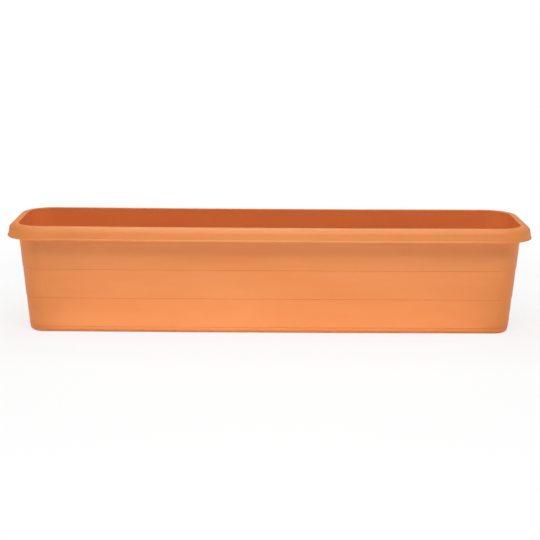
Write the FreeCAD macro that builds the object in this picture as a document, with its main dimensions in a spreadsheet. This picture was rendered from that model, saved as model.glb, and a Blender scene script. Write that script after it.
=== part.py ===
import FreeCAD, Part
import math
import os
import Sketcher

# A window box planter: one thin-walled moulded trough with a hollow down-turned rim, and the stoppers
# that push into its drain holes from inside. Millimetres. Length along X, front towards -Y, up along +Z.
# The origin is at the middle of the box, on the surface that it stands on.

# Each row: the size's name, its value, and what it measures.
SIZES = [
    ("trough_length", 800.0, "over the lip, end to end"),
    ("trough_depth", 200.0, "over the lip, front to back"),
    ("trough_height", 168.0, "from the ground to the rim's crest"),
    ("rim_corner_radius", 54.0, "plan radius of the lip at each corner"),
    ("rim_thickness", 1.9, "wall of the hollow rim"),
    ("rim_slope", 3.0, "outward fall of the rim's top, degrees"),
    ("land_width", 4.9, "top of the rim, from the crest's inner edge to the shoulder's bend"),
    ("shoulder_radius", 10.4, "outer bend from the rim's top to its face"),
    ("face_height", 3.4, "upright face of the rim, below the shoulder's bend"),
    ("flare_height", 2.2, "height over which the face flares to the lip"),
    ("lip_flare", 1.9, "lip's edge out from the rim's face"),
    ("lip_height", 3.3, "upright edge of the lip"),
    ("crest_radius", 0.9, "rounding of the crest's inner edge"),
    ("rim_root_radius", 1.4, "rounding where the wall meets the underside of the rim"),
    ("wall_thickness", 1.9, "wall, measured level, apart from the ledges"),
    ("wall_draft", 5.4, "lean of the walls, degrees"),
    ("ledge_depth", 0.45, "how far the wall just above a ledge stands out over the wall just below it"),
    ("ledge_spacing", 45.5, "from one ledge up to the next"),
    ("low_ledge_rise", 3.0, "lowest ledge above the rounding of the foot"),
    ("foot_radius", 7.0, "outer rounding at the foot of the wall"),
    ("inner_foot_radius", 5.0, "inner rounding at the foot of the wall"),
    ("foot_land", 0.5, "flat of the floor beyond the inner rounding, in the wall's section"),
    ("ring_thickness", 3.0, "floor's outer ring, which stands on the ground"),
    ("ring_width", 18.0, "from the wall's foot to the raised panel"),
    ("panel_rise", 5.0, "underside of the raised panel above the ground"),
    ("panel_thickness", 2.2, "raised panel of the floor"),
    ("panel_corner_radius", 9.0, "plan radius of the panel's recess"),
    ("riser_thickness", 2.2, "wall from the ring up to the panel, measured level"),
    ("riser_draft", 25.0, "lean of that wall, degrees"),
    ("drain_radius", 6.0, "drain hole"),
    ("drain_end_inset", 66.0, "from the end of the panel's recess to the nearest drain holes"),
    ("drain_side_inset", 21.0, "from the side of the panel's recess to a row of drain holes"),
    ("collar_thickness", 3.0, "wall of the collar below each drain hole"),
    ("collar_clearance", 2.6, "collar above the ground"),
    ("rib_thickness", 1.6, "stiffening ribs below the panel"),
    ("rib_clearance", 3.0, "ribs above the ground"),
    ("gate_radius", 5.0, "boss below the middle of the panel, where the mould is fed"),
    ("gate_clearance", 2.2, "boss above the ground"),
    ("channel_width", 12.0, "water channel across the ring, at each end of a drain row"),
    ("channel_height", 1.3, "water channel's depth into the ring"),
    ("plug_head_overlap", 4.0, "stopper's head beyond the edge of its hole, all round"),
    ("plug_head_edge", 1.2, "head's thickness at its edge"),
    ("plug_head_crown", 0.8, "head's rise from its edge to its flat top"),
    ("plug_head_bevel", 2.0, "width of the head's sloping edge"),
    ("plug_ground_clearance", 1.2, "stem's end above the ground"),
    ("plug_stem_clearance", 0.25, "between stem and hole, all round"),
    ("plug_stem_wall", 1.75, "wall of the stem, which is hollow and open below"),
    ("plug_tip_taper", 0.8, "lead-in at the stem's end"),
    ("plug_seal_clearance", 0.05, "between sealing ring and hole, all round"),
    ("plug_seal_drop", 1.6, "head's underside down to the sealing ring"),
    ("plug_seal_height", 1.0, "sealing ring, along the stem"),
    ("plug_seal_lead", 0.2, "sloping edges of the sealing ring, along the stem"),
    ("plug_tab_width", 9.0, "pull tab, across"),
    ("plug_tab_height", 8.0, "pull tab above the head's underside"),
    ("plug_tab_thickness", 1.8, "pull tab, through"),
    ("plug_tab_rounding", 2.5, "upper corners of the pull tab"),
]
LEDGES = 3
DRAIN_COLUMNS = 4
DRAIN_ROWS = 2
CROSS_RIBS = 3

SHEET = "Sizes"


def size(name):
    """The expression that reads one size from the sheet."""
    return SHEET + "." + name


def slant(name):
    """The expression for how far a lean of this many degrees goes sideways per millimetre of height."""
    return "tan(" + size(name) + " * 1deg)"


# Places that several features or pieces share, as expressions.
CREST = size("trough_height")
CORNER_X = "({} / 2 - {})".format(size("trough_length"), size("rim_corner_radius"))
CORNER_Y = "({} / 2 - {})".format(size("trough_depth"), size("rim_corner_radius"))
RIM_FACE = "({} - {})".format(size("rim_corner_radius"), size("lip_flare"))
CREST_EDGE = "({} - {} - {})".format(RIM_FACE, size("shoulder_radius"), size("land_width"))


def inner_wall(height):
    """Radius of the inner wall about a corner's upright axis, at a height."""
    return "({} - ({} - {}) * {})".format(CREST_EDGE, CREST, height, slant("wall_draft"))


def outer_wall(height):
    """Radius of the outer wall about a corner's upright axis, at a height, just below a ledge there."""
    return "({} + {})".format(inner_wall(height), size("wall_thickness"))


FLOOR_EDGE = "({} - {} - {})".format(
    inner_wall(size("ring_thickness")), size("inner_foot_radius"), size("foot_land"))
RECESS_X = "({} + {} - {})".format(CORNER_X, outer_wall("0"), size("ring_width"))
RECESS_Y = "({} + {} - {})".format(CORNER_Y, outer_wall("0"), size("ring_width"))
PANEL_TOP = "({} + {})".format(size("panel_rise"), size("panel_thickness"))
DRAIN_PITCH = "(2 * ({} - {}) / {})".format(RECESS_X, size("drain_end_inset"), DRAIN_COLUMNS - 1)
DRAIN_ROW_GAP = "(2 * ({} - {}) / {})".format(RECESS_Y, size("drain_side_inset"), DRAIN_ROWS - 1)


def centred(index, count, pitch):
    """The place of one of a row of things this far apart, with the row centred on the box."""
    return "({} * {})".format(index - (count - 1) / 2, pitch)


def make_sheet(doc):
    sheet = doc.addObject("Spreadsheet::Sheet", SHEET)
    for row, (name, value, meaning) in enumerate(SIZES, start=1):
        sheet.set("A{}".format(row), name)
        sheet.set("B{}".format(row), str(value))
        sheet.set("C{}".format(row), meaning)
        sheet.setAlias("B{}".format(row), name)
    doc.recompute()


def make_body(doc, label):
    body = doc.addObject("PartDesign::Body", label)
    body.Label = label
    return body


def origin_feature(body, role):
    return [feature for feature in body.Origin.OriginFeatures if feature.Role == role][0]


def make_sketch(body, name, role, across=None, along=None):
    """A sketch on one of the body's own planes, moved across it and along its normal if asked."""
    sketch = body.newObject("Sketcher::SketchObject", name)
    sketch.AttachmentSupport = [(origin_feature(body, role), "")]
    sketch.MapMode = "FlatFace"
    if across:
        sketch.setExpression("AttachmentOffset.Base.x", across)
    if along:
        sketch.setExpression("AttachmentOffset.Base.z", along)
    body.Document.recompute()
    return sketch


def bind(sketch, constraint, name, expression):
    index = sketch.addConstraint(constraint)
    sketch.renameConstraint(index, name)
    sketch.setExpression("Constraints." + name, expression)


def place_point(sketch, geometry, position, name, x, y):
    """Ties a point of the sketch to a place given by two expressions."""
    now = [float(sketch.evalExpression(value)) for value in (x, y)]
    bind(sketch, Sketcher.Constraint("DistanceX", -1, 1, geometry, position, now[0]), name + "_x", x)
    bind(sketch, Sketcher.Constraint("DistanceY", -1, 1, geometry, position, now[1]), name + "_y", y)


def rounding(before, corner, after, radius):
    """Where a rounding of this radius leaves the two straight edges of a corner, and its centre."""
    back = (before - corner).normalize()
    on = (after - corner).normalize()
    half = back.getAngle(on) / 2
    reach = radius / math.tan(half)
    centre = corner + (back + on).normalize() * (radius / math.sin(half))
    return corner + back * reach, corner + on * reach, centre


def draw_outline(sketch, corners):
    """Draws a closed outline. Each corner is its name, x and y, and a radius if it is rounded."""
    count = len(corners)
    places = [FreeCAD.Vector(*[float(sketch.evalExpression(value)) for value in corner[1:3]], 0)
              for corner in corners]
    leaves = []
    arrives = []
    arcs = {}
    for index, corner in enumerate(corners):
        if len(corner) == 3:
            arrives.append(places[index])
            leaves.append(places[index])
            continue
        radius = float(sketch.evalExpression(corner[3]))
        start, end, centre = rounding(places[index - 1], places[index], places[(index + 1) % count], radius)
        arrives.append(start)
        leaves.append(end)
        arcs[index] = (centre, radius)
    lines = [sketch.addGeometry(Part.LineSegment(leaves[index], arrives[(index + 1) % count]))
             for index in range(count)]
    for index, corner in enumerate(corners):
        line_in = lines[index - 1]
        line_out = lines[index]
        if index not in arcs:
            sketch.addConstraint(Sketcher.Constraint("Coincident", line_in, 2, line_out, 1))
            place_point(sketch, line_out, 1, corner[0], corner[1], corner[2])
            continue
        centre, radius = arcs[index]
        first = arrives[index] - centre
        last = leaves[index] - centre
        counter_clockwise = first.cross(last).z > 0
        angles = [math.atan2(first.y, first.x), math.atan2(last.y, last.x)]
        ends = (1, 2)
        if not counter_clockwise:
            angles.reverse()
            ends = (2, 1)
        circle = Part.Circle(centre, FreeCAD.Vector(0, 0, 1), radius)
        arc = sketch.addGeometry(Part.ArcOfCircle(circle, angles[0], angles[1]))
        point = sketch.addGeometry(Part.Point(places[index]), True)
        sketch.addConstraint([
            Sketcher.Constraint("Tangent", line_in, 2, arc, ends[0]),
            Sketcher.Constraint("Tangent", line_out, 1, arc, ends[1]),
            Sketcher.Constraint("PointOnObject", point, 1, line_in),
            Sketcher.Constraint("PointOnObject", point, 1, line_out),
        ])
        place_point(sketch, point, 1, corner[0], corner[1], corner[2])
        bind(sketch, Sketcher.Constraint("Radius", arc, radius), corner[0] + "_radius", corner[3])


def draw_circle(sketch, name, x, y, radius):
    now = [float(sketch.evalExpression(value)) for value in (x, y, radius)]
    centre = FreeCAD.Vector(now[0], now[1], 0)
    circle = sketch.addGeometry(Part.Circle(centre, FreeCAD.Vector(0, 0, 1), now[2]))
    place_point(sketch, circle, 3, name, x, y)
    bind(sketch, Sketcher.Constraint("Radius", circle, now[2]), name + "_radius", radius)


def draw_box(sketch, name, low_x, high_x, low_y, high_y, radius=None):
    """An upright rectangle, rounded at its corners if it has a radius."""
    rounded = (radius,) if radius else ()
    draw_outline(sketch, [
        (name + "_a", low_x, low_y) + rounded,
        (name + "_b", high_x, low_y) + rounded,
        (name + "_c", high_x, high_y) + rounded,
        (name + "_d", low_x, high_y) + rounded,
    ])


def draw_plate(sketch, name, half_x, half_y, radius):
    """A rounded rectangle about the middle of the box."""
    draw_box(sketch, name, "-" + half_x, half_x, "-" + half_y, half_y, radius)


def make_pad(body, name, sketch, length, midplane=False):
    pad = body.newObject("PartDesign::Pad", name)
    pad.Profile = sketch
    pad.setExpression("Length", length)
    pad.Midplane = midplane
    body.Document.recompute()
    return pad


def make_revolution(body, name, sketch, degrees):
    """Turns the sketch about its own upright axis."""
    revolution = body.newObject("PartDesign::Revolution", name)
    revolution.Profile = sketch
    revolution.ReferenceAxis = (sketch, ["V_Axis"])
    revolution.Angle = degrees
    body.Document.recompute()


def make_pocket(body, name, sketch, depth=None):
    """Cuts the sketch upwards into the body, right through if no depth is given."""
    before = body.Shape.Volume
    pocket = body.newObject("PartDesign::Pocket", name)
    pocket.Profile = sketch
    pocket.Reversed = True
    if depth:
        pocket.setExpression("Length", depth)
    else:
        pocket.Type = "ThroughAll"
    body.Document.recompute()
    if body.Shape.Volume >= before:
        raise RuntimeError(name + " cuts nothing")
    return pocket


def make_mirror(body, name, role):
    mirror = body.newObject("PartDesign::Mirrored", name)
    mirror.TransformMode = "Whole shape"
    mirror.MirrorPlane = (origin_feature(body, role), [""])
    body.Tip = mirror
    body.Document.recompute()


def make_row(body, name, originals, count, pitch):
    """Repeats features along the box."""
    row = body.newObject("PartDesign::LinearPattern", name)
    row.Originals = originals
    row.Direction = (origin_feature(body, "X_Axis"), [""])
    row.Mode = "Spacing"
    row.Occurrences = count
    row.setExpression("Offset", pitch)
    body.Tip = row
    body.Document.recompute()


def wall_section():
    """The wall from the floor's ring up to the crest, over the rim and down its face to the lip.

    It is the same all round the box. Widths are radii about a corner's upright axis.
    """
    thickness = size("rim_thickness")
    lip_edge = size("rim_corner_radius")
    lip_back = "({} - {})".format(lip_edge, thickness)
    face_back = "({} - {})".format(RIM_FACE, thickness)
    shoulder = "({} - ({} - {}) * {})".format(CREST, RIM_FACE, CREST_EDGE, slant("rim_slope"))
    flare_top = "({} - {} - {})".format(shoulder, size("shoulder_radius"), size("face_height"))
    lip_top = "({} - {})".format(flare_top, size("flare_height"))
    lip_foot = "({} - {})".format(lip_top, size("lip_height"))
    rim_root = "({} - {} - {} * {})".format(CREST, thickness, size("wall_thickness"), slant("rim_slope"))
    corners = [
        ("floor_top", FLOOR_EDGE, size("ring_thickness")),
        ("inner_foot", inner_wall(size("ring_thickness")), size("ring_thickness"),
         size("inner_foot_radius")),
        ("crest", CREST_EDGE, CREST, size("crest_radius")),
        ("shoulder", RIM_FACE, shoulder, size("shoulder_radius")),
        ("flare_top", RIM_FACE, flare_top),
        ("lip_top", lip_edge, lip_top),
        ("lip_foot", lip_edge, lip_foot),
        ("lip_back_foot", lip_back, lip_foot),
        ("lip_back_top", lip_back, lip_top),
        ("flare_back", face_back, flare_top),
        ("shoulder_back", face_back, "({} - {})".format(shoulder, thickness),
         "({} - {})".format(size("shoulder_radius"), thickness)),
        ("rim_root", outer_wall(rim_root), rim_root, size("rim_root_radius")),
    ]
    for step in reversed(range(LEDGES)):
        height = "({} + {} + {} * {})".format(
            size("foot_radius"), size("low_ledge_rise"), step, size("ledge_spacing"))
        root = outer_wall(height)
        edge = "({} + {})".format(root, size("ledge_depth"))
        corners.append(("ledge_{}_edge".format(step), edge, height))
        corners.append(("ledge_{}_root".format(step), root, height))
    corners.append(("outer_foot", outer_wall("0"), "0", size("foot_radius")))
    corners.append(("floor_foot", FLOOR_EDGE, "0"))
    return corners


def make_wall(body):
    """A quarter of the wall, which is half an end, one corner and half a side, then its mirror images."""
    end_section = make_sketch(body, "end_section", "XZ_Plane", CORNER_X, "-" + CORNER_Y)
    draw_outline(end_section, wall_section())
    make_pad(body, "half_end", end_section, CORNER_Y)
    make_revolution(body, "corner", end_section, 90)
    side_section = make_sketch(body, "side_section", "YZ_Plane", CORNER_Y)
    draw_outline(side_section, wall_section())
    make_pad(body, "half_side", side_section, CORNER_X)
    make_mirror(body, "other_end", "YZ_Plane")
    make_mirror(body, "other_side", "XZ_Plane")


def make_floor(body):
    """A ring that stands on the ground, round a panel raised clear of it on sloping risers."""
    floor = make_sketch(body, "floor_outline", "XY_Plane")
    draw_plate(floor, "floor", "({} + {})".format(CORNER_X, FLOOR_EDGE),
               "({} + {})".format(CORNER_Y, FLOOR_EDGE), FLOOR_EDGE)
    make_pad(body, "floor_plate", floor, size("ring_thickness"))
    riser = size("riser_thickness")
    panel = make_sketch(body, "panel_outline", "XY_Plane")
    draw_plate(panel, "panel", "({} + {})".format(RECESS_X, riser), "({} + {})".format(RECESS_Y, riser),
               "({} + {})".format(size("panel_corner_radius"), riser))
    panel_block = make_pad(body, "panel_block", panel, PANEL_TOP)
    recess = make_sketch(body, "recess_outline", "XY_Plane")
    draw_plate(recess, "recess", RECESS_X, RECESS_Y, size("panel_corner_radius"))
    panel_recess = make_pocket(body, "panel_recess", recess, size("panel_rise"))
    for feature in (panel_block, panel_recess):
        feature.setExpression("TaperAngle", "-" + size("riser_draft"))
    body.Document.recompute()


def make_ribs(body):
    """Ribs below the panel, and the boss where the mould is fed. They stay clear of the ground."""
    reach = "({} / 2 - {} * {})".format(
        size("riser_thickness"), size("panel_rise"), slant("riser_draft"))
    half_rib = "({} / 2)".format(size("rib_thickness"))
    rib_foot = size("rib_clearance")
    spine = make_sketch(body, "spine_outline", "XY_Plane", None, rib_foot)
    spine_end = "({} + {})".format(RECESS_X, reach)
    draw_box(spine, "spine", "-" + spine_end, spine_end, "-" + half_rib, half_rib)
    make_pad(body, "spine_rib", spine, height_into_panel(rib_foot))
    cross = make_sketch(body, "cross_outline", "XY_Plane", None, rib_foot)
    cross_end = "({} + {})".format(RECESS_Y, reach)
    first = centred(0, CROSS_RIBS, DRAIN_PITCH)
    draw_box(cross, "cross", "({} - {})".format(first, half_rib), "({} + {})".format(first, half_rib),
             "-" + cross_end, cross_end)
    cross_rib = make_pad(body, "cross_rib", cross, height_into_panel(rib_foot))
    make_row(body, "cross_ribs", [cross_rib], CROSS_RIBS, DRAIN_PITCH)
    gate = make_sketch(body, "gate_outline", "XY_Plane", None, size("gate_clearance"))
    draw_circle(gate, "gate", "0", "0", size("gate_radius"))
    make_pad(body, "gate_boss", gate, height_into_panel(size("gate_clearance")))


def make_drains(body):
    """Drain holes, each with a collar to hold its stopper, and channels that let the water out."""
    first = centred(0, DRAIN_COLUMNS, DRAIN_PITCH)
    rows = [centred(row, DRAIN_ROWS, DRAIN_ROW_GAP) for row in range(DRAIN_ROWS)]
    collar_radius = "({} + {})".format(size("drain_radius"), size("collar_thickness"))
    collars = make_sketch(body, "collar_outline", "XY_Plane", None, size("collar_clearance"))
    drains = make_sketch(body, "drain_outline", "XY_Plane")
    for row, middle in enumerate(rows):
        draw_circle(collars, "collar_{}".format(row), first, middle, collar_radius)
        draw_circle(drains, "drain_{}".format(row), first, middle, size("drain_radius"))
    first_collars = make_pad(body, "collars", collars, height_into_panel(size("collar_clearance")))
    first_drains = make_pocket(body, "drain_holes", drains)
    make_row(body, "drain_columns", [first_collars, first_drains], DRAIN_COLUMNS, DRAIN_PITCH)
    channels = make_sketch(body, "channel_outline", "XY_Plane")
    half_channel = "({} / 2)".format(size("channel_width"))
    inner_end = "({} - {})".format(RECESS_X, size("riser_thickness"))
    outer_end = "({} / 2)".format(size("trough_length"))
    for row, middle in enumerate(rows):
        low = "({} - {})".format(middle, half_channel)
        high = "({} + {})".format(middle, half_channel)
        draw_box(channels, "right_{}".format(row), inner_end, outer_end, low, high)
        draw_box(channels, "left_{}".format(row), "-" + outer_end, "-" + inner_end, low, high)
    make_pocket(body, "water_channels", channels, size("channel_height"))


def height_into_panel(foot):
    """From a foot below the floor's panel up to the middle of the panel's thickness."""
    return "({} + {} / 2 - {})".format(size("panel_rise"), size("panel_thickness"), foot)


def make_trough(doc):
    body = make_body(doc, "trough")
    make_wall(body)
    make_floor(body)
    make_ribs(body)
    make_drains(body)
    return body


def make_plug(doc, label, column, row):
    """One stopper, its head's underside seated on the floor's raised panel."""
    body = make_body(doc, label)
    head = "({} + {})".format(size("drain_radius"), size("plug_head_overlap"))
    head_top = "({} + {})".format(size("plug_head_edge"), size("plug_head_crown"))
    stem = "({} - {})".format(size("drain_radius"), size("plug_stem_clearance"))
    seal = "({} - {})".format(size("drain_radius"), size("plug_seal_clearance"))
    core = "({} - {})".format(stem, size("plug_stem_wall"))
    foot = "({} - {})".format(size("plug_ground_clearance"), PANEL_TOP)
    seal_high = "(-{})".format(size("plug_seal_drop"))
    seal_low = "({} - {})".format(seal_high, size("plug_seal_height"))
    profile = make_sketch(body, label + "_profile", "XZ_Plane")
    draw_outline(profile, [
        ("head_middle", "0", head_top),
        ("head_top", "({} - {})".format(head, size("plug_head_bevel")), head_top),
        ("head_edge", head, size("plug_head_edge")),
        ("head_foot", head, "0"),
        ("stem_top", stem, "0"),
        ("seal_root_high", stem, seal_high),
        ("seal_high", seal, "({} - {})".format(seal_high, size("plug_seal_lead"))),
        ("seal_low", seal, "({} + {})".format(seal_low, size("plug_seal_lead"))),
        ("seal_root_low", stem, seal_low),
        ("taper_top", stem, "({} + {})".format(foot, size("plug_tip_taper"))),
        ("tip", "({} - {})".format(stem, size("plug_tip_taper")), foot),
        ("core_foot", core, foot),
        ("core_top", core, "0"),
        ("core_middle", "0", "0"),
    ])
    make_revolution(body, label + "_stopper", profile, 360)
    half_tab = "({} / 2)".format(size("plug_tab_width"))
    tab_foot = "({} / 2)".format(size("plug_head_edge"))
    tab = make_sketch(body, label + "_tab_outline", "XZ_Plane")
    draw_outline(tab, [
        ("foot_left", "-" + half_tab, tab_foot),
        ("foot_right", half_tab, tab_foot),
        ("top_right", half_tab, size("plug_tab_height"), size("plug_tab_rounding")),
        ("top_left", "-" + half_tab, size("plug_tab_height"), size("plug_tab_rounding")),
    ])
    make_pad(body, label + "_tab", tab, size("plug_tab_thickness"), midplane=True)
    body.setExpression("Placement.Base.x", centred(column, DRAIN_COLUMNS, DRAIN_PITCH))
    body.setExpression("Placement.Base.y", centred(row, DRAIN_ROWS, DRAIN_ROW_GAP))
    body.setExpression("Placement.Base.z", PANEL_TOP)
    return body


def main():
    doc = FreeCAD.newDocument("window_box")
    make_sheet(doc)
    bodies = [make_trough(doc)]
    for row in range(DRAIN_ROWS):
        for column in range(DRAIN_COLUMNS):
            label = "drain_plug_{}".format(row * DRAIN_COLUMNS + column + 1)
            bodies.append(make_plug(doc, label, column, row))
    doc.recompute()

    for item in doc.Objects:
        if "Invalid" in item.State or "Error" in item.State:
            raise RuntimeError(item.Name + " has failed")
    for body in bodies:
        shape = body.Shape
        if shape.isNull() or not shape.isValid() or len(shape.Solids) != 1:
            raise RuntimeError(body.Label + " isn't one sound solid")
    os.makedirs("parts", exist_ok=True)
    for body in bodies:
        body.Shape.exportStep("parts/" + body.Label + ".step")
        box = body.Shape.BoundBox
        print("{}: {:.0f} cubic mm, {:.1f} x {:.1f} x {:.1f} mm, from z {:.2f}".format(
            body.Label, body.Shape.Volume, box.XLength, box.YLength, box.ZLength, box.ZMin))


main()
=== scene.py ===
import math

import bmesh
import bpy
from bpy.props import BoolProperty, FloatProperty, FloatVectorProperty, IntProperty, PointerProperty
from mathutils import Matrix, Vector


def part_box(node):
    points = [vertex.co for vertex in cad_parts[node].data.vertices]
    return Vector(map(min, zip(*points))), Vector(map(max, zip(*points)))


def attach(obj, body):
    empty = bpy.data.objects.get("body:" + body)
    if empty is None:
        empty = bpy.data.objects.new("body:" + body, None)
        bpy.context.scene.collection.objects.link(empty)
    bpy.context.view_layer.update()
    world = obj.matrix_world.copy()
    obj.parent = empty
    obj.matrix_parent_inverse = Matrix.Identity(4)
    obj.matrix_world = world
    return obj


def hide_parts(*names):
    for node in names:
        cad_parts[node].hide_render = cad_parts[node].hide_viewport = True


bl_info = {
    "name": "Window box planter",
    "version": (1, 0, 0),
    "blender": (4, 5, 0),
    "location": "3D View > Sidebar > Planter",
    "description": "A moulded window box with its drain plugs, and the studio it stands in",
    "category": "Object",
}

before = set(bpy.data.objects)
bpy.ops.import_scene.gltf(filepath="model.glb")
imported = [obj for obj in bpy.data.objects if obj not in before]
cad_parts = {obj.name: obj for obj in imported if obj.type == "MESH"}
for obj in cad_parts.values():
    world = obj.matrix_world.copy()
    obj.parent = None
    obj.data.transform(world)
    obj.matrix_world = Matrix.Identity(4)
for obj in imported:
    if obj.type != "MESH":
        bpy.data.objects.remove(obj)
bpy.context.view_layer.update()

# A window box planter: one thin-walled polypropylene moulding with a hollow down-turned rim, and the
# stoppers pushed into its drain holes. Metres. Length along X, front towards -Y, up along +Z.

MM = 0.001
TROUGH_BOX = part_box("trough")
PLUGS = sorted(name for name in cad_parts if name.startswith("drain_plug_"))

LEDGES = 3
END_STEPS = 6
CORNER_STEPS = 22
SIDE_STEPS = 40
HOLE_STEPS = 48
TALL = 20 * MM
WELD = 0.002 * MM
SHARP_ANGLE = math.radians(32)
UP = Vector((0, 0, 1))
# A long side's bow rises this much faster than it would from corner to middle, and is then even.
BOW_SPREAD = 1.35


def linear(colour):
    """The linear colour, with alpha, of an sRGB hex value."""
    channels = [int(colour[start:start + 2], 16) / 255 for start in (1, 3, 5)]
    return tuple(c / 12.92 if c <= 0.04045 else ((c + 0.055) / 1.055) ** 2.4 for c in channels) + (1.0,)


# ---------------------------------------------------------------- sizes and colours that a user may change

def lamp_place(lamp, place):
    """The property that holds where a lamp stands."""
    return FloatVectorProperty(name=lamp + " place", description="Middle of the lamp", size=3,
                               subtype="TRANSLATION", unit="LENGTH", default=place)


def lamp_size(lamp, size):
    """The property that holds a lamp's width and height."""
    return FloatVectorProperty(name=lamp + " size", description="Width and height of the lamp", size=2,
                               unit="LENGTH", default=size)


def lamp_power(lamp, power):
    """The property that holds a lamp's power."""
    return FloatProperty(name=lamp + " power", description="Power of the lamp, in watts", default=power)


class WallSizes(bpy.types.PropertyGroup):
    """The section of the wall and rim, which is the same all round the box."""

    corner_radius: FloatProperty(
        name="Rim corner", description="Plan radius of the lip at each corner", default=54 * MM,
        unit="LENGTH")
    rim_thickness: FloatProperty(
        name="Rim wall", description="Wall of the hollow rim", default=1.9 * MM, unit="LENGTH")
    rim_slope: FloatProperty(
        name="Rim slope", description="Outward fall of the rim's top", default=math.radians(3),
        subtype="ANGLE")
    land_width: FloatProperty(
        name="Land", description="Top of the rim inside the shoulder's bend", default=4.1 * MM,
        unit="LENGTH")
    shoulder_radius: FloatProperty(
        name="Shoulder", description="Outer bend from the rim's top to its face", default=9.5 * MM,
        unit="LENGTH")
    face_height: FloatProperty(
        name="Face", description="Face of the rim below the shoulder", default=6.3 * MM, unit="LENGTH")
    face_lean: FloatProperty(
        name="Face lean", description="Outward lean of the rim's face", default=math.radians(9),
        subtype="ANGLE")
    flare_height: FloatProperty(
        name="Flare", description="Height over which the face flares to the lip", default=1.4 * MM,
        unit="LENGTH")
    lip_flare: FloatProperty(
        name="Lip flare", description="The lip's edge out from the rim's face", default=1.1 * MM,
        unit="LENGTH")
    lip_height: FloatProperty(
        name="Lip", description="Upright edge of the lip", default=1.8 * MM, unit="LENGTH")
    crest_radius: FloatProperty(
        name="Crest", description="Rounding of the rim's inner edge", default=0.9 * MM, unit="LENGTH")
    rim_root_radius: FloatProperty(
        name="Rim root", description="Rounding where the wall meets the rim from below", default=1.4 * MM,
        unit="LENGTH")
    edge_radius: FloatProperty(
        name="Edges", description="Rounding of the lip's edges", default=0.5 * MM, unit="LENGTH")
    flare_radius: FloatProperty(
        name="Flare bend", description="Rounding where the face turns out to the lip", default=0.8 * MM,
        unit="LENGTH")
    thickness: FloatProperty(
        name="Wall", description="Wall of the box, measured level", default=1.9 * MM, unit="LENGTH")
    draft: FloatProperty(
        name="Draft", description="Lean of the walls", default=math.radians(5.4), subtype="ANGLE")
    ledge_depth: FloatProperty(
        name="Ledge", description="How far the wall above a ledge stands out over the wall below it",
        default=0.45 * MM, unit="LENGTH")
    groove_depth: FloatProperty(
        name="Groove", description="Depth of the fine groove below a ledge", default=0.4 * MM,
        unit="LENGTH")
    groove_height: FloatProperty(
        name="Groove height", description="Height of the fine groove below a ledge", default=0.7 * MM,
        unit="LENGTH")
    ledge_spacing: FloatProperty(
        name="Ledge spacing", description="From one ledge up to the next", default=45.5 * MM, unit="LENGTH")
    ledge_rise: FloatProperty(
        name="Lowest ledge", description="Height of the lowest ledge", default=10 * MM, unit="LENGTH")
    ledge_radius: FloatProperty(
        name="Ledge edge", description="Rounding of the edges of a ledge and its groove",
        default=0.1 * MM, unit="LENGTH")
    foot_radius: FloatProperty(
        name="Foot", description="Outer rounding at the wall's foot", default=7 * MM, unit="LENGTH")
    inner_foot_radius: FloatProperty(
        name="Inner foot", description="Inner rounding at the wall's foot", default=5 * MM, unit="LENGTH")
    pinch: FloatProperty(
        name="Pinch", description="How far the long sides have drawn in at the middle of the rim",
        default=2.6 * MM, unit="LENGTH")
    belly: FloatProperty(
        name="Belly", description="How far the long sides stand out at the middle of the foot",
        default=1.6 * MM, unit="LENGTH")
    sag: FloatProperty(
        name="Sag", description="How far the rim has sunk at the middle of the front",
        default=1.15 * MM, unit="LENGTH")
    rear_sag: FloatProperty(
        name="Rear sag", description="How far the rim has sunk at the middle of the back",
        default=0.2 * MM, unit="LENGTH")


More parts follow.
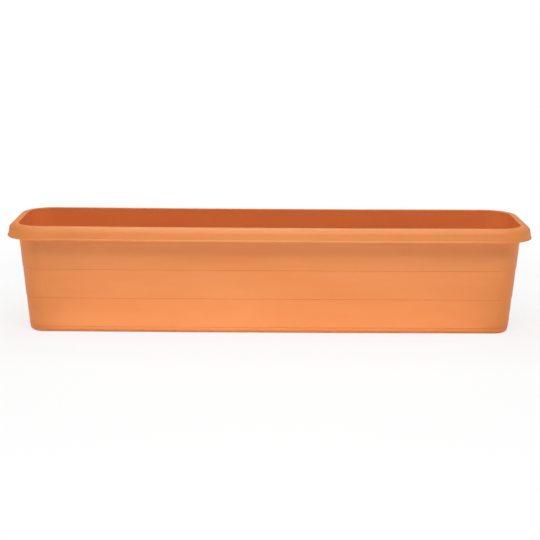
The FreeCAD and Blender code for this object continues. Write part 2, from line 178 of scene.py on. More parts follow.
class FloorSizes(bpy.types.PropertyGroup):
    """The floor: a ring that stands on the ground, round a raised panel."""

    ring_thickness: FloatProperty(
        name="Ring", description="Thickness of the ring", default=3 * MM, unit="LENGTH")
    ring_width: FloatProperty(
        name="Ring width", description="From the wall's foot to the panel's recess", default=18 * MM,
        unit="LENGTH")
    foot_land: FloatProperty(
        name="Foot land", description="Flat of the ring that belongs to the wall's section",
        default=0.5 * MM, unit="LENGTH")
    panel_rise: FloatProperty(
        name="Panel rise", description="Underside of the panel above the ground", default=5 * MM,
        unit="LENGTH")
    panel_thickness: FloatProperty(
        name="Panel", description="Thickness of the panel and its risers", default=2.2 * MM, unit="LENGTH")
    panel_corner: FloatProperty(
        name="Panel corner", description="Plan radius of the panel's recess", default=9 * MM, unit="LENGTH")
    riser_draft: FloatProperty(
        name="Riser draft", description="Lean of the risers", default=math.radians(25), subtype="ANGLE")
    edge_radius: FloatProperty(
        name="Panel edges", description="Rounding of the panel's edges", default=0.8 * MM, unit="LENGTH")
    hole_radius: FloatProperty(
        name="Drain hole", description="Radius of a drain hole", default=6 * MM, unit="LENGTH")
    collar_thickness: FloatProperty(
        name="Collar", description="Wall of the collar below a drain hole", default=3 * MM, unit="LENGTH")
    collar_foot: FloatProperty(
        name="Collar foot", description="Collar above the ground", default=2.6 * MM, unit="LENGTH")
    rib_thickness: FloatProperty(
        name="Rib", description="Thickness of the stiffening ribs", default=1.6 * MM, unit="LENGTH")
    rib_foot: FloatProperty(
        name="Rib foot", description="Ribs above the ground", default=3 * MM, unit="LENGTH")
    gate_radius: FloatProperty(
        name="Gate boss", description="Radius of the boss where the mould was fed", default=5 * MM,
        unit="LENGTH")
    gate_foot: FloatProperty(
        name="Gate foot", description="Gate boss above the ground", default=2.2 * MM, unit="LENGTH")
    channel_width: FloatProperty(
        name="Channel", description="Width of a water channel across the ring", default=12 * MM,
        unit="LENGTH")
    channel_height: FloatProperty(
        name="Channel height", description="Depth of a water channel", default=1.3 * MM, unit="LENGTH")
    ejector_radius: FloatProperty(
        name="Ejector mark", description="Radius of the marks that the ejector pins left", default=5 * MM,
        unit="LENGTH")
    ejector_depth: FloatProperty(
        name="Ejector depth", description="Depth of an ejector mark", default=0.2 * MM, unit="LENGTH")


class PlugSizes(bpy.types.PropertyGroup):
    """A drain plug, measured from the panel that its head sits on."""

    head_radius: FloatProperty(
        name="Head", description="Radius of the head", default=10 * MM, unit="LENGTH")
    head_edge: FloatProperty(
        name="Head edge", description="Thickness of the head at its edge", default=1.2 * MM, unit="LENGTH")
    head_top: FloatProperty(
        name="Head top", description="Thickness of the head at its middle", default=2 * MM, unit="LENGTH")
    stem_radius: FloatProperty(
        name="Stem", description="Radius of the stem", default=5.75 * MM, unit="LENGTH")
    stem_length: FloatProperty(
        name="Stem length", description="Stem below the head", default=6 * MM, unit="LENGTH")
    core_radius: FloatProperty(
        name="Core", description="Radius of the stem's hollow", default=4 * MM, unit="LENGTH")
    seal_radius: FloatProperty(
        name="Seal", description="Radius of the sealing ring", default=5.95 * MM, unit="LENGTH")
    seal_drop: FloatProperty(
        name="Seal drop", description="From the head down to the sealing ring", default=1.6 * MM,
        unit="LENGTH")
    seal_height: FloatProperty(
        name="Seal height", description="Sealing ring along the stem", default=1 * MM, unit="LENGTH")
    tab_width: FloatProperty(
        name="Tab", description="Width of the pull tab", default=9 * MM, unit="LENGTH")
    tab_height: FloatProperty(
        name="Tab height", description="Height of the pull tab", default=8 * MM, unit="LENGTH")
    tab_thickness: FloatProperty(
        name="Tab thickness", description="Thickness of the pull tab", default=1.8 * MM, unit="LENGTH")
    tab_corner: FloatProperty(
        name="Tab corner", description="Rounding of the tab's upper corners", default=2.5 * MM,
        unit="LENGTH")
    grip_radius: FloatProperty(
        name="Grip rib", description="Radius of the ribs across the tab", default=0.35 * MM, unit="LENGTH")
    grips: IntProperty(
        name="Grip ribs", description="Number of ribs across each side of the tab", default=3)


class Finish(bpy.types.PropertyGroup):
    """Colours of the two plastics; the inside's deeper colours are painted shade."""

    trough_colour: FloatVectorProperty(
        name="Polypropylene", description="Terracotta colour of the box", subtype="COLOR", size=4,
        min=0, max=1, default=linear("#E68D4A"))
    trough_deep: FloatVectorProperty(
        name="Pigment streak", description="Where the pigment is thicker", subtype="COLOR", size=4,
        min=0, max=1, default=linear("#E08440"))
    # The inside colours are the box's colours made deeper: painted shade for the inner walls and floor. The
    # streaks are the pigment's own.
    inside_shaded_colour: FloatVectorProperty(
        name="Inside", description="Deeper colour of the smooth inner side", subtype="COLOR", size=4,
        min=0, max=1, default=linear("#E68446"))
    inside_shaded_streak: FloatVectorProperty(
        name="Inside streak", description="Where the pigment is thicker on the inner side",
        subtype="COLOR", size=4, min=0, max=1, default=linear("#E17D3F"))
    plug_colour: FloatVectorProperty(
        name="Polyethylene", description="Colour of the drain plugs", subtype="COLOR", size=4,
        min=0, max=1, default=linear("#CF7848"))
    plug_deep: FloatVectorProperty(
        name="Plug streak", description="Flow streaks in the plugs", subtype="COLOR", size=4,
        min=0, max=1, default=linear("#C26E40"))


class Studio(bpy.types.PropertyGroup):
    """The pale floor, the lamps and the camera.

    A lamp that stands on both sides of the box has its place given for the back or the right-hand end.
    """

    floor_radius: FloatProperty(
        name="Floor", description="Radius of the floor", default=6, unit="LENGTH")
    floor_colour: FloatVectorProperty(
        name="Floor colour", description="Colour of the paper", subtype="COLOR", size=4, min=0, max=1,
        default=linear("#F4F4F3"))
    shadow_reach: FloatProperty(
        name="Shadow", description="Distance out to which the paper keeps the shadow", default=0.5,
        unit="LENGTH")
    fade: FloatProperty(
        name="Fade", description="Width over which the paper then fades to plain white", default=0.4,
        unit="LENGTH")
    overhead_place: lamp_place("Overhead", (0, 0, 1.5))
    overhead_size: lamp_size("Overhead", (1.4, 0.6))
    overhead_power: lamp_power("Overhead", 6)
    softbox_place: lamp_place("High softbox", (0, 0.8, 1.25))
    softbox_size: lamp_size("High softbox", (1.2, 0.5))
    front_power: lamp_power("Front softbox", 11.4)
    rear_power: lamp_power("Rear softbox", 6.5)
    strip_place: lamp_place("Low strip", (0, 0.9, 0.06))
    strip_size: lamp_size("Low strip", (1.2, 0.1))
    strip_power: lamp_power("Low strip", 1.7)
    strip_aim: FloatProperty(
        name="Low strip aim", description="Height that the low strips point at", default=0.04,
        unit="LENGTH")
    bounce_place: lamp_place("Floor bounce", (0, 0.125, 0.002))
    bounce_size: lamp_size("Floor bounce", (0.66, 0.1))
    bounce_power: lamp_power("Floor bounce", 0.13)
    end_place: lamp_place("End softbox", (1.3, 0, 0.16))
    end_size: lamp_size("End softbox", (0.6, 0.3))
    end_power: lamp_power("End softbox", 2.8)
    aim: FloatProperty(
        name="Aim", description="Height that the softboxes point at", default=0.1, unit="LENGTH")
    world_strength: FloatProperty(
        name="Surroundings", description="Strength of the white surroundings as a light", default=0.1)
    mirrored_strength: FloatProperty(
        name="Reflected surroundings",
        description="Strength of the surroundings where the plastic mirrors them", default=0.35)
    camera_place: FloatVectorProperty(
        name="Camera", description="Where the camera stands", subtype="TRANSLATION", size=3,
        unit="LENGTH", default=(-0.0184, -2.1579, 0.5484))
    camera_pitch: FloatProperty(
        name="Pitch", description="How far the camera looks down", default=math.radians(12.13),
        subtype="ANGLE")
    camera_yaw: FloatProperty(
        name="Yaw", description="How far the camera is turned to the right", default=math.radians(0.51),
        subtype="ANGLE")
    camera_roll: FloatProperty(
        name="Roll", description="How far the camera is tipped", default=math.radians(0.44),
        subtype="ANGLE")
    camera_lens: FloatProperty(
        name="Lens", description="Focal length, in millimetres", default=93.64)


class Planter(bpy.types.PropertyGroup):
    """All the settings of the planter."""

    wall: PointerProperty(type=WallSizes, name="Wall", description="Wall and rim")
    floor: PointerProperty(type=FloorSizes, name="Floor", description="Floor")
    plug: PointerProperty(type=PlugSizes, name="Plug", description="Drain plugs")
    finish: PointerProperty(type=Finish, name="Finish", description="Colours")
    studio: PointerProperty(type=Studio, name="Studio", description="Studio")
    softened: BoolProperty(
        name="Weighted normals", description="Keep flat faces flat beside small roundings", default=True)


# ---------------------------------------------------------------- shared modelling steps

def arc_steps(radius):
    """Segments for a rounding: two for the smallest edge, about ten for the shoulder."""
    return 2 + round(0.8 * radius / MM)


def round_corner(bm, corner, radius):
    """Rounds one corner of a chain of edges."""
    along = [(edge.other_vert(corner).co - corner.co).normalized() for edge in corner.link_edges]
    reach = radius / math.tan(along[0].angle(along[1]) / 2)
    bmesh.ops.bevel(bm, geom=[corner], offset=reach, offset_type="OFFSET", segments=arc_steps(radius),
                    profile=0.5, affect="VERTICES", material=-1)


def draw_chain(bm, corners, closed=False):
    """Draws edges from corner to corner. Each corner is a place, and a radius if it is rounded."""
    others = set(bm.edges)
    verts = [bm.verts.new(corner[0]) for corner in corners]
    for start, end in zip(verts, verts[1:]):
        bm.edges.new((start, end))
    if closed:
        bm.edges.new((verts[-1], verts[0]))
    for vert, corner in zip(verts, corners):
        if len(corner) == 2:
            round_corner(bm, vert, corner[1])
    return [edge for edge in bm.edges if edge not in others]


def verts_of(edges):
    """The vertices of the edges, each one once and in the same order in every run."""
    return list(dict.fromkeys(vert for edge in edges for vert in edge.verts))


def sweep(bm, chain, steps, travel=(0, 0, 0), turn=0.0, centre=(0, 0, 0)):
    """Draws faces behind a chain of edges that moves or turns, and returns the chain at its end."""
    swept = bmesh.ops.spin(bm, geom=chain, cent=centre, axis=UP, dvec=Vector(travel) / steps, angle=turn,
                           steps=steps, use_merge=False, use_duplicate=False)
    return swept["geom_last"]


def carry_round(bm, section, axis, end_steps, side_steps, cuts=0):
    """Carries a section along half an end, round one corner of the box and along half a side.

    The section's corners are a radius about the corner's upright axis, a height, and a rounding. Its tall
    straight stretches are cut, so that they can be bowed later.
    """
    others = set(bm.edges)
    chain = draw_chain(bm, [(Vector((axis.x + radius, 0, height)), *rounding)
                            for radius, height, *rounding in section])
    if cuts:
        tall = [edge for edge in chain if edge.calc_length() > TALL]
        bmesh.ops.subdivide_edges(bm, edges=tall, cuts=cuts)
    chain = [edge for edge in bm.edges if edge not in others]
    chain += verts_of(chain)
    chain = sweep(bm, chain, end_steps, travel=(0, axis.y, 0))
    chain = sweep(bm, chain, CORNER_STEPS, turn=math.radians(90), centre=(axis.x, axis.y, 0))
    sweep(bm, chain, side_steps, travel=(-axis.x, 0, 0))


def lathe(bm, profile, centre=(0, 0)):
    """Turns a profile of radius, height and rounding about an upright axis into a closed shape."""
    middle = Vector((centre[0], centre[1], 0))
    chain = draw_chain(bm, [(middle + Vector((radius, 0, height)), *rounding)
                            for radius, height, *rounding in profile])
    bmesh.ops.spin(bm, geom=verts_of(chain) + chain, cent=middle, axis=UP, angle=math.tau,
                   steps=HOLE_STEPS, use_merge=True, use_duplicate=False)


def add_block(bm, low, high):
    """A plain block between two corners."""
    low, high = Vector(low), Vector(high)
    place = Matrix.Translation((low + high) / 2) @ Matrix.Diagonal((*(high - low), 1))
    bmesh.ops.create_cube(bm, size=1, matrix=place)


def close_up(bm):
    """Welds the seams and poles and turns every face outwards."""
    bmesh.ops.remove_doubles(bm, verts=bm.verts, dist=WELD)
    bmesh.ops.dissolve_degenerate(bm, dist=WELD, edges=bm.edges)
    bmesh.ops.recalc_face_normals(bm, faces=bm.faces)
    open_edges = [edge for edge in bm.edges if len(edge.link_faces) != 2]
    if open_edges:
        raise RuntimeError("{} edges are open, the first at {}".format(
            len(open_edges), open_edges[0].verts[0].co[:]))


def make_object(name, bm):
    """An object whose place is in its mesh."""
    mesh = bpy.data.meshes.new(name)
    bm.to_mesh(mesh)
    bm.free()
    made = bpy.data.objects.new(name, mesh)
    bpy.context.scene.collection.objects.link(made)
    return made


def combine(piece, tool, operation):
    """Joins the tool to the piece, or cuts it out of it, and drops the tool."""
    step = piece.modifiers.new(tool.name, "BOOLEAN")
    step.operation = operation
    step.solver = "EXACT"
    step.object = tool
    bpy.context.view_layer.update()
    changed = piece.evaluated_get(bpy.context.evaluated_depsgraph_get())
    mesh = bpy.data.meshes.new_from_object(changed)
    piece.modifiers.clear()
    old = piece.data
    piece.data = mesh
    mesh.name = piece.name
    bpy.data.meshes.remove(old)
    bpy.data.objects.remove(tool)


def finish_mesh(piece, material):
    """Checks that the mesh is closed, marks its sharp edges and gives it its material."""
    bm = bmesh.new()
    bm.from_mesh(piece.data)
    close_up(bm)
    many_sided = [face for face in bm.faces if len(face.verts) > 4]
    bmesh.ops.triangulate(bm, faces=many_sided)
    for face in bm.faces:
        face.smooth = True
        face.material_index = 0
    for edge in bm.edges:
        edge.smooth = edge.calc_face_angle(0) < SHARP_ANGLE
    bm.to_mesh(piece.data)
    bm.free()
    piece.data.materials.clear()
    piece.data.materials.append(material)


def seat(piece, body, node):
    """The piece stands for a node and moves with its body."""
    if bpy.context.scene.planter.softened:
        step = piece.modifiers.new("weighted_normals", "WEIGHTED_NORMAL")
        step.keep_sharp = True
    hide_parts(node)
    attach(piece, body)


# ---------------------------------------------------------------- materials

def add_node(tree, kind, inputs=None, **settings):
    """Adds a node with its settings. An input is linked if it is given a socket, and otherwise set."""
    node = tree.nodes.new(kind)
    for name, value in settings.items():
        setattr(node, name, value)
    for name, value in (inputs or {}).items():
        if isinstance(value, bpy.types.NodeSocket):
            tree.links.new(value, node.inputs[name])
        else:
            node.inputs[name].default_value = value
    return node


def new_material(name):
    """An empty node material and its tree."""
    material = bpy.data.materials.new(name)
    material.use_nodes = True
    material.node_tree.nodes.clear()
    return material, material.node_tree


def moulded_plastic(name, colour, streak, ior, roughness, mottle, grain):
    """Moulded plastic: pigment mottle, soft flow streaks along the fill and a fine spark-eroded grain."""
    material, tree = new_material(name)
    place = add_node(tree, "ShaderNodeTexCoord").outputs["Object"]
    drawn_out = add_node(tree, "ShaderNodeMapping", {"Vector": place, "Scale": (0.25, 1, 1)})
    streaks = add_node(tree, "ShaderNodeTexNoise", {
        "Vector": drawn_out.outputs["Vector"], "Scale": 1 / mottle, "Detail": 4.0, "Roughness": 0.55})
    blend = add_node(tree, "ShaderNodeMapRange", {
        "Value": streaks.outputs["Fac"], "From Min": 0.35, "From Max": 0.7})
    shade = add_node(tree, "ShaderNodeMix", data_type="RGBA", inputs={
        "Factor": blend.outputs["Result"], "A": colour, "B": streak})
    texture = add_node(tree, "ShaderNodeTexNoise", {
        "Vector": place, "Scale": 1 / grain, "Detail": 2.0, "Roughness": 0.6})
    waves = add_node(tree, "ShaderNodeTexNoise", {
        "Vector": drawn_out.outputs["Vector"], "Scale": 1 / (0.7 * mottle), "Detail": 1.0})
    satin = add_node(tree, "ShaderNodeMapRange", {
        "Value": texture.outputs["Fac"], "From Min": 0.3, "From Max": 0.7,
        "To Min": roughness - 0.04, "To Max": roughness + 0.04})
    soft = add_node(tree, "ShaderNodeBump", {
        "Height": waves.outputs["Fac"], "Strength": 0.25, "Distance": 0.4 * MM})
    bump = add_node(tree, "ShaderNodeBump", {
        "Height": texture.outputs["Fac"], "Strength": 0.3, "Distance": 0.04 * MM,
        "Normal": soft.outputs["Normal"]})
    shader = add_node(tree, "ShaderNodeBsdfPrincipled", {
        "Base Color": shade.outputs["Result"], "Roughness": satin.outputs["Result"],
        "IOR": ior, "Normal": bump.outputs["Normal"]})
    add_node(tree, "ShaderNodeOutputMaterial", {"Surface": shader.outputs["BSDF"]})
    return material


# ---------------------------------------------------------------- trough

def wall_section(wall, floor):
    """The wall from the floor's ring inside, over the rim, to its foot outside.

    Each corner is a radius about a box corner's upright axis, a height, and a rounding.
    """
    crest = TROUGH_BOX[1].z
    lean = math.tan(wall.draft)
    fall = math.tan(wall.rim_slope)
    face_foot = wall.corner_radius - wall.lip_flare
    face = face_foot - (wall.shoulder_radius + wall.face_height) * math.tan(wall.face_lean)
    crest_edge = face - wall.shoulder_radius - wall.land_width

    def inner(height):
        return crest_edge - (crest - height) * lean

    def outer(height):
        return inner(height) + wall.thickness

    shoulder = crest - (face - crest_edge) * fall
    flare_top = shoulder - wall.shoulder_radius - wall.face_height
    lip_top = flare_top - wall.flare_height
    lip_foot = lip_top - wall.lip_height
    rim_root = crest - wall.rim_thickness - wall.thickness * fall
    back = wall.rim_thickness
    floor_edge = inner(floor.ring_thickness) - wall.inner_foot_radius - floor.foot_land
    corners = [
        (floor_edge, floor.ring_thickness),
        (inner(floor.ring_thickness), floor.ring_thickness, wall.inner_foot_radius),
        (crest_edge, crest, wall.crest_radius),
        (face, shoulder, wall.shoulder_radius),
        (face_foot, flare_top, wall.flare_radius),
        (wall.corner_radius, lip_top, wall.edge_radius),
        (wall.corner_radius, lip_foot, wall.edge_radius),
        (wall.corner_radius - back, lip_foot, wall.edge_radius),
        (wall.corner_radius - back, lip_top, wall.edge_radius),
        (face_foot - back, flare_top, wall.edge_radius),
        (face - back, shoulder - back, wall.shoulder_radius - back),
        (outer(rim_root), rim_root, wall.rim_root_radius),
    ]
    for step in reversed(range(LEDGES)):
        height = wall.ledge_rise + step * wall.ledge_spacing
        foot = height - wall.groove_height
        corners.append((outer(height) + wall.ledge_depth, height, wall.ledge_radius))
        corners.append((outer(height) - wall.groove_depth, height, wall.ledge_radius))
        corners.append((outer(foot), foot, wall.ledge_radius))
    corners.append((outer(0), 0, wall.foot_radius))
    corners.append((floor_edge, 0))
    return corners


def riser_section(low, high, outset, floor):
    """A drafted riser between two levels of the floor, with rounded bends, as radius, height and rounding.

    The riser stands out from the recess below the panel by the outset.
    """
    lean = math.tan(floor.riser_draft)
    land = 2 * floor.edge_radius
    foot = floor.panel_corner + outset - low * lean
    top = floor.panel_corner + outset - high * lean
    return [(foot + land, low), (foot, low, floor.edge_radius), (top, high, floor.edge_radius),
            (top - land, high)]


def draw_shell(bm, wall, floor, corner, recess):
    """The walls and the floor's risers, carried round the box, with flat faces between them."""
    panel_top = floor.panel_rise + floor.panel_thickness
    carry_round(bm, wall_section(wall, floor), corner, END_STEPS, SIDE_STEPS, cuts=5)
    riser_axis = recess - Vector((1, 1)) * floor.panel_corner
    for section in (riser_section(floor.ring_thickness, panel_top, floor.panel_thickness, floor),
                    riser_section(0, floor.panel_rise, 0, floor)):
        carry_round(bm, section, riser_axis, 1, 1)
    for axis in ("X", "Y"):
        bmesh.ops.mirror(bm, geom=bm.verts[:] + bm.edges[:] + bm.faces[:], matrix=Matrix.Identity(4),
                         merge_dist=WELD, axis=axis)
    bmesh.ops.remove_doubles(bm, verts=bm.verts, dist=WELD)
    rims = [edge for edge in bm.edges if len(edge.link_faces) == 1]
    for level in (0, floor.ring_thickness, floor.panel_rise, panel_top):
        loops = [edge for edge in rims if abs(edge.verts[0].co.z - level) < WELD]
        bmesh.ops.triangle_fill(bm, edges=loops, use_beauty=True, use_dissolve=False)


def polish_and_shade_inside(piece, wall, floor, corner, material):
    """Gives the inner walls and the top of the floor the finish of the mould's polished core, and a deeper
    colour that is painted shade.
    """
    piece.data.materials.append(material)
    bm = bmesh.new()
    bm.from_mesh(piece.data)
    inside = max(radius for radius, height, *rounding in wall_section(wall, floor)[:3])
    for face in bm.faces:
        centre = face.calc_center_median()
        near = Vector((max(-corner.x, min(corner.x, centre.x)), max(-corner.y, min(corner.y, centre.y)), 0))
        out = Vector((centre.x, centre.y, 0)) - near
        on_wall = out.length < inside and face.normal.dot(out) < 0
        on_floor = face.normal.z > 0.5 and centre.z < 2 * (floor.panel_rise + floor.panel_thickness)
        face.material_index = int(on_wall or on_floor)
    bm.to_mesh(piece.data)
    bm.free()


def bow_sides(bm, wall, floor, corner, recess):
    """The long sides have drawn in and sunk at the rim and stand out at the foot, as moulded sides do."""
    crest = TROUGH_BOX[1].z
    foot = corner.y + wall.foot_radius
    for vert in bm.verts:
        x, y, z = vert.co
        along = max(0.0, 1 - abs(x) / corner.x)
        bulge = 0.5 - 0.5 * math.cos(math.pi * min(1.0, BOW_SPREAD * along))
        clear = min(1.0, max(0.0, (abs(y) - recess.y - floor.panel_thickness) / (foot - recess.y)))
        shift = wall.belly - (wall.belly + wall.pinch) * z / crest
        vert.co.y += math.copysign(1, y) * shift * bulge * clear
        sag = wall.sag if y < 0 else wall.rear_sag
        vert.co.z -= sag * bulge * clear * (z / crest) ** 2


def floor_ribs(floor, recess, across, drains):
    """The ribs, collars and gate boss below the panel, as one solid that reaches into the panel."""
    middle = floor.panel_rise + floor.panel_thickness / 2
    half_rib = floor.rib_thickness / 2
    reach = floor.panel_thickness / 2 - floor.panel_rise * math.tan(floor.riser_draft)
    spine = bmesh.new()
    add_block(spine, (-recess.x - reach, -half_rib, floor.rib_foot), (recess.x + reach, half_rib, middle))
    ribs = bmesh.new()
    for rib_x in across:
        add_block(ribs, (rib_x - half_rib, -recess.y - reach, floor.rib_foot),
                  (rib_x + half_rib, recess.y + reach, middle))
    collar = floor.hole_radius + floor.collar_thickness
    collar_edge = 0.4 * MM
    for place in drains:
        lathe(ribs, [(0, middle), (collar, middle), (collar, floor.collar_foot, collar_edge),
                     (0, floor.collar_foot)], place)
    stub = 1.0 * MM
    stub_foot = floor.gate_foot - 0.4 * MM
    stub_edge = 0.2 * MM
    boss_edge = 0.6 * MM
    boss = bmesh.new()
    lathe(boss, [(0, middle), (floor.gate_radius, middle), (floor.gate_radius, floor.gate_foot, boss_edge),
                 (stub, floor.gate_foot), (stub, stub_foot, stub_edge), (0, stub_foot)])
    for bm in (spine, ribs, boss):
        close_up(bm)
    joined = make_object("spine_rib", spine)
    combine(joined, make_object("cross_ribs", ribs), "UNION")
    combine(joined, make_object("gate_boss", boss), "UNION")
    return joined


def floor_cuts(floor, recess, across, drains):
    """What is cut out of the floor: drain holes, water channels and the ejector pins' marks."""
    cut = bmesh.new()
    top = floor.panel_rise + floor.panel_thickness
    lead = 0.4 * MM
    past = 1.0 * MM
    hole = floor.hole_radius
    for place in drains:
        lathe(cut, [(0, top + past), (hole + lead + past, top + past), (hole, top - lead),
                    (hole, floor.collar_foot - past), (0, floor.collar_foot - past)], place)
    half_channel = floor.channel_width / 2
    rows = sorted({round(place.y, 5) for place in drains})
    for side in (-1, 1):
        ends = sorted((side * (recess.x - floor.panel_thickness), side * TROUGH_BOX[1].x))
        for row in rows:
            add_block(cut, (ends[0], row - half_channel, -past),
                      (ends[1], row + half_channel, floor.channel_height))
    for place_x in across:
        for row in rows:
            lathe(cut, [(0, top + past), (floor.ejector_radius, top + past),
                        (floor.ejector_radius, top - floor.ejector_depth), (0, top - floor.ejector_depth)],
                  (place_x, row))
    close_up(cut)
    return make_object("floor_cuts", cut)


class PLANTER_OT_trough(bpy.types.Operator):
    """Make the moulded box with its rim, ledges, floor, ribs and drain holes"""

    bl_idname = "planter.trough"
    bl_label = "Trough"

    def execute(self, context):
        settings = context.scene.planter
        wall = settings.wall
        floor = settings.floor
        corner = TROUGH_BOX[1].xy - Vector((wall.corner_radius, wall.corner_radius))
        section = wall_section(wall, floor)
        recess = corner + Vector((1, 1)) * (section[-2][0] - floor.ring_width)
        bm = bmesh.new()
        draw_shell(bm, wall, floor, corner, recess)
        bow_sides(bm, wall, floor, corner, recess)
        close_up(bm)
        piece = make_object("trough_moulding", bm)
        drains = [sum(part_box(name), Vector()) / 2 for name in PLUGS]
        columns = sorted({round(place.x, 5) for place in drains})
        across = [(left + right) / 2 for left, right in zip(columns, columns[1:])]
        combine(piece, floor_ribs(floor, recess, across, drains), "UNION")
        combine(piece, floor_cuts(floor, recess, across, drains), "DIFFERENCE")
        finish = settings.finish
        # Polypropylene moulded against a spark-eroded cavity: satin, with a fine grain and soft streaks.
        satin = moulded_plastic("polypropylene_spark_eroded", finish.trough_colour, finish.trough_deep,
                                ior=1.49, roughness=0.5, mottle=60 * MM, grain=0.9 * MM)
        finish_mesh(piece, satin)
        # The same plastic moulded against the polished core: smoother, and given a deeper colour that is
        # painted shade for the inside.
        polished_shaded = moulded_plastic("polypropylene_polished_painted_shade", finish.inside_shaded_colour, finish.inside_shaded_streak,
                                   ior=1.49, roughness=0.38, mottle=60 * MM, grain=2.5 * MM)
        polish_and_shade_inside(piece, wall, floor, corner, polished_shaded)
        seat(piece, "trough", "trough")
        return {"FINISHED"}


# ---------------------------------------------------------------- drain plugs

def plug_profile(plug):
    """Half the plug's section: radius, height above the panel, and rounding."""
    tip = 0.8 * MM
    dome = 2 * MM
    seal_low = -plug.seal_drop - plug.seal_height
    proud = plug.seal_radius - plug.stem_radius
    return [
        (0, plug.head_top),
        (plug.head_radius - dome, plug.head_top, 0.8 * MM),
        (plug.head_radius, plug.head_edge, 0.5 * MM),
        (plug.head_radius, 0, 0.3 * MM),
        (plug.stem_radius, 0, 0.2 * MM),
        (plug.stem_radius, -plug.seal_drop),
        (plug.seal_radius, -plug.seal_drop - proud, 0.1 * MM),
        (plug.seal_radius, seal_low + proud, 0.1 * MM),
        (plug.stem_radius, seal_low),
        (plug.stem_radius, tip - plug.stem_length, 0.3 * MM),
        (plug.stem_radius - tip, -plug.stem_length, 0.2 * MM),
        (plug.core_radius, -plug.stem_length, 0.3 * MM),
        (plug.core_radius, 0, 0.6 * MM),
        (0, 0),
    ]


def plug_tab(plug):
    """The pull tab with ribs across it for the fingers."""
    bm = bmesh.new()
    half = plug.tab_width / 2
    foot = plug.head_edge / 2
    side = plug.tab_thickness / 2
    tab_edge = 0.35 * MM
    bare_end = 1 * MM
    outline = draw_chain(bm, [
        (Vector((-half, -side, foot)),),
        (Vector((half, -side, foot)),),
        (Vector((half, -side, plug.tab_height)), plug.tab_corner),
        (Vector((-half, -side, plug.tab_height)), plug.tab_corner),
    ], closed=True)
    face = bmesh.ops.edgeloop_fill(bm, edges=outline)["faces"]
    grown = bmesh.ops.extrude_face_region(bm, geom=face)["geom"]
    bmesh.ops.translate(bm, verts=[part for part in grown if isinstance(part, bmesh.types.BMVert)],
                        vec=(0, plug.tab_thickness, 0))
    bmesh.ops.recalc_face_normals(bm, faces=bm.faces)
    flat = [edge for edge in bm.edges if abs(edge.verts[0].co.y - edge.verts[1].co.y) < WELD]
    bmesh.ops.bevel(bm, geom=flat, offset=tab_edge, offset_type="OFFSET", segments=3, profile=0.5,
                    affect="EDGES", material=-1)
    close_up(bm)
    tab = make_object("plug_tab", bm)
    across = Matrix.Rotation(math.radians(90), 4, "Y")
    for level in range(plug.grips):
        height = plug.tab_height - plug.tab_corner - 4 * level * plug.grip_radius
        for face_y in (-side, side):
            rib = bmesh.new()
            bmesh.ops.create_cone(
                rib, cap_ends=True, cap_tris=False, segments=12, radius1=plug.grip_radius,
                radius2=plug.grip_radius, depth=2 * (half - bare_end),
                matrix=Matrix.Translation((0, face_y, height)) @ across)
            combine(tab, make_object("grip_rib", rib), "UNION")
    return tab


class PLANTER_OT_drain_plugs(bpy.types.Operator):
    """Make a stopper with a pull tab for each drain hole"""

    bl_idname = "planter.drain_plugs"
    bl_label = "Drain plugs"

    def execute(self, context):
        settings = context.scene.planter
        plug = settings.plug
        finish = settings.finish
        # Low density polyethylene, moulded: waxier and softer than the box, so a little smoother.
        material = moulded_plastic("polyethylene_moulded_waxy", finish.plug_colour, finish.plug_deep,
                                   ior=1.51, roughness=0.42, mottle=9 * MM, grain=0.5 * MM)
        bm = bmesh.new()
        lathe(bm, plug_profile(plug))
        close_up(bm)
        pattern = make_object("plug_pattern", bm)
        combine(pattern, plug_tab(plug), "UNION")
        finish_mesh(pattern, material)
        for name in PLUGS:
            low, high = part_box(name)
            piece = bpy.data.objects.new(name + "_moulding", pattern.data.copy())
            place = Vector(((low.x + high.x) / 2, (low.y + high.y) / 2, low.z + plug.stem_length))
            piece.data.transform(Matrix.Translation(place))
            context.scene.collection.objects.link(piece)
            seat(piece, name, name)
        bpy.data.objects.remove(pattern)
        return {"FINISHED"}


# ---------------------------------------------------------------- stage

def soft_lamp(name, place, target, size, power, mirrored=True):
    """A white softbox that the camera doesn't see, and that the plastic's gloss may leave out."""
    data = bpy.data.lights.new(name, "AREA")
    data.shape = "RECTANGLE"
    data.size, data.size_y = size
    data.energy = power
    lamp = bpy.data.objects.new(name, data)
    lamp.location = place
    lamp.rotation_euler = (target - place).to_track_quat("-Z", "Y").to_euler()
    lamp.visible_camera = False
    lamp.visible_glossy = mirrored
    bpy.context.scene.collection.objects.link(lamp)


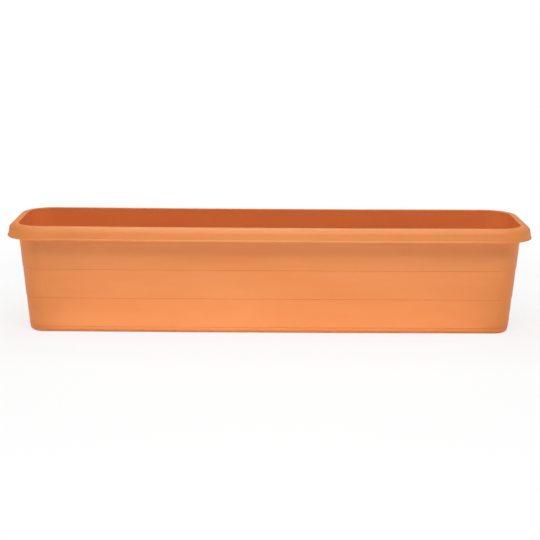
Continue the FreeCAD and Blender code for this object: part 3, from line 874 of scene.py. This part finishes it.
def paper_floor(colour, shadow_reach, fade):
    """Matt white paper. Near the object it keeps the soft shadow, and it fades to plain white further out.

    The camera and the plastic's gloss see it so, and every other ray sees plain lit paper.
    """
    material, tree = new_material("background_paper_matt")
    place = add_node(tree, "ShaderNodeTexCoord").outputs["Object"]
    fibre = add_node(tree, "ShaderNodeTexNoise", {"Vector": place, "Scale": 1 / (4 * MM), "Detail": 3.0})
    tooth = add_node(tree, "ShaderNodeBump", {
        "Height": fibre.outputs["Fac"], "Strength": 0.1, "Distance": 0.1 * MM})
    paper = add_node(tree, "ShaderNodeBsdfDiffuse", {"Color": colour, "Normal": tooth.outputs["Normal"]})
    white = add_node(tree, "ShaderNodeEmission", {"Color": (1, 1, 1, 1), "Strength": 1.0})
    far = add_node(tree, "ShaderNodeVectorMath", {0: place}, operation="LENGTH")
    plain = add_node(tree, "ShaderNodeMapRange", {
        "Value": far.outputs["Value"], "From Min": shadow_reach, "From Max": shadow_reach + fade,
        "To Min": 0.8, "To Max": 1.0}, interpolation_type="SMOOTHSTEP")
    ray = add_node(tree, "ShaderNodeLightPath").outputs
    seen = add_node(tree, "ShaderNodeMath", {0: ray["Is Camera Ray"], 1: ray["Is Glossy Ray"]},
                    operation="MAXIMUM")
    share = add_node(tree, "ShaderNodeMath", {0: plain.outputs["Result"], 1: seen.outputs["Value"]},
                     operation="MULTIPLY")
    mixed = add_node(tree, "ShaderNodeMixShader", {
        0: share.outputs["Value"], 1: paper.outputs["BSDF"], 2: white.outputs["Emission"]})
    add_node(tree, "ShaderNodeOutputMaterial", {"Surface": mixed.outputs["Shader"]})
    return material


def white_surroundings(strength, sheen):
    """White for the camera, a paler white for reflections and a dim white light for everything else."""
    world = bpy.data.worlds.new("white_surroundings")
    world.use_nodes = True
    tree = world.node_tree
    tree.nodes.clear()
    ray = add_node(tree, "ShaderNodeLightPath").outputs
    mirrored = add_node(tree, "ShaderNodeMapRange", {
        "Value": ray["Is Glossy Ray"], "To Min": strength, "To Max": sheen})
    level = add_node(tree, "ShaderNodeMix", {
        "Factor": ray["Is Camera Ray"], "A": mirrored.outputs["Result"], "B": 1.0})
    light = add_node(tree, "ShaderNodeBackground", {
        "Color": (1, 1, 1, 1), "Strength": level.outputs["Result"]})
    add_node(tree, "ShaderNodeOutputWorld", {"Surface": light.outputs["Background"]})
    bpy.context.scene.world = world


class PLANTER_OT_stage(bpy.types.Operator):
    """Make the pale floor, the soft lamps and the camera"""

    bl_idname = "planter.stage"
    bl_label = "Stage"

    def execute(self, context):
        scene = context.scene
        studio = scene.planter.studio
        bm = bmesh.new()
        bmesh.ops.create_circle(bm, cap_ends=True, segments=96, radius=studio.floor_radius)
        floor = make_object("paper_floor", bm)
        floor.data.materials.append(paper_floor(studio.floor_colour, studio.shadow_reach, studio.fade))
        soft_lamp("overhead_softbox", studio.overhead_place, Vector(), studio.overhead_size,
                  studio.overhead_power)
        for side, power in ((-1, studio.front_power), (1, studio.rear_power)):
            flip = Vector((side, side, 1))
            box_end = Vector((side * TROUGH_BOX[1].x, 0, studio.aim))
            bounce = studio.bounce_place * flip
            soft_lamp("high_softbox", studio.softbox_place * flip, studio.aim * UP,
                      studio.softbox_size, power)
            soft_lamp("low_strip", studio.strip_place * flip, studio.strip_aim * UP, studio.strip_size,
                      studio.strip_power)
            soft_lamp("floor_bounce", bounce, bounce + UP, studio.bounce_size, studio.bounce_power)
            soft_lamp("end_softbox", studio.end_place * flip, box_end, studio.end_size, studio.end_power,
                      mirrored=False)
        white_surroundings(studio.world_strength, studio.mirrored_strength)
        camera = bpy.data.cameras.new("camera")
        camera.lens = studio.camera_lens
        camera.sensor_width = 36
        camera.clip_end = 100
        eye = bpy.data.objects.new("camera", camera)
        turn = (Matrix.Rotation(-studio.camera_yaw, 4, "Z")
                @ Matrix.Rotation(math.pi / 2 - studio.camera_pitch, 4, "X")
                @ Matrix.Rotation(studio.camera_roll, 4, "Z"))
        eye.matrix_world = Matrix.Translation(studio.camera_place) @ turn
        scene.collection.objects.link(eye)
        scene.camera = eye
        scene.view_settings.view_transform = "Standard"
        return {"FINISHED"}


# ---------------------------------------------------------------- sidebar and registration

class PLANTER_PT_sidebar(bpy.types.Panel):
    """Lists the planter's steps and settings."""

    bl_idname = "PLANTER_PT_sidebar"
    bl_label = "Window box planter"
    bl_space_type = "VIEW_3D"
    bl_region_type = "UI"
    bl_category = "Planter"

    def draw(self, context):
        for step in STEPS:
            self.layout.operator(step.bl_idname)
        settings = context.scene.planter
        for group in (settings.wall, settings.floor, settings.plug, settings.finish, settings.studio):
            box = self.layout.box()
            for name in group.__annotations__:
                box.prop(group, name)


STEPS = (PLANTER_OT_trough, PLANTER_OT_drain_plugs, PLANTER_OT_stage)
GROUPS = (WallSizes, FloorSizes, PlugSizes, Finish, Studio, Planter)
CLASSES = GROUPS + STEPS + (PLANTER_PT_sidebar,)


def register():
    for one in CLASSES:
        bpy.utils.register_class(one)
    bpy.types.Scene.planter = PointerProperty(type=Planter)


def unregister():
    del bpy.types.Scene.planter
    for one in reversed(CLASSES):
        bpy.utils.unregister_class(one)


def main():
    register()
    bpy.ops.planter.trough()
    bpy.ops.planter.drain_plugs()
    bpy.ops.planter.stage()
    bpy.context.view_layer.update()


if __name__ == "__main__":
    main()
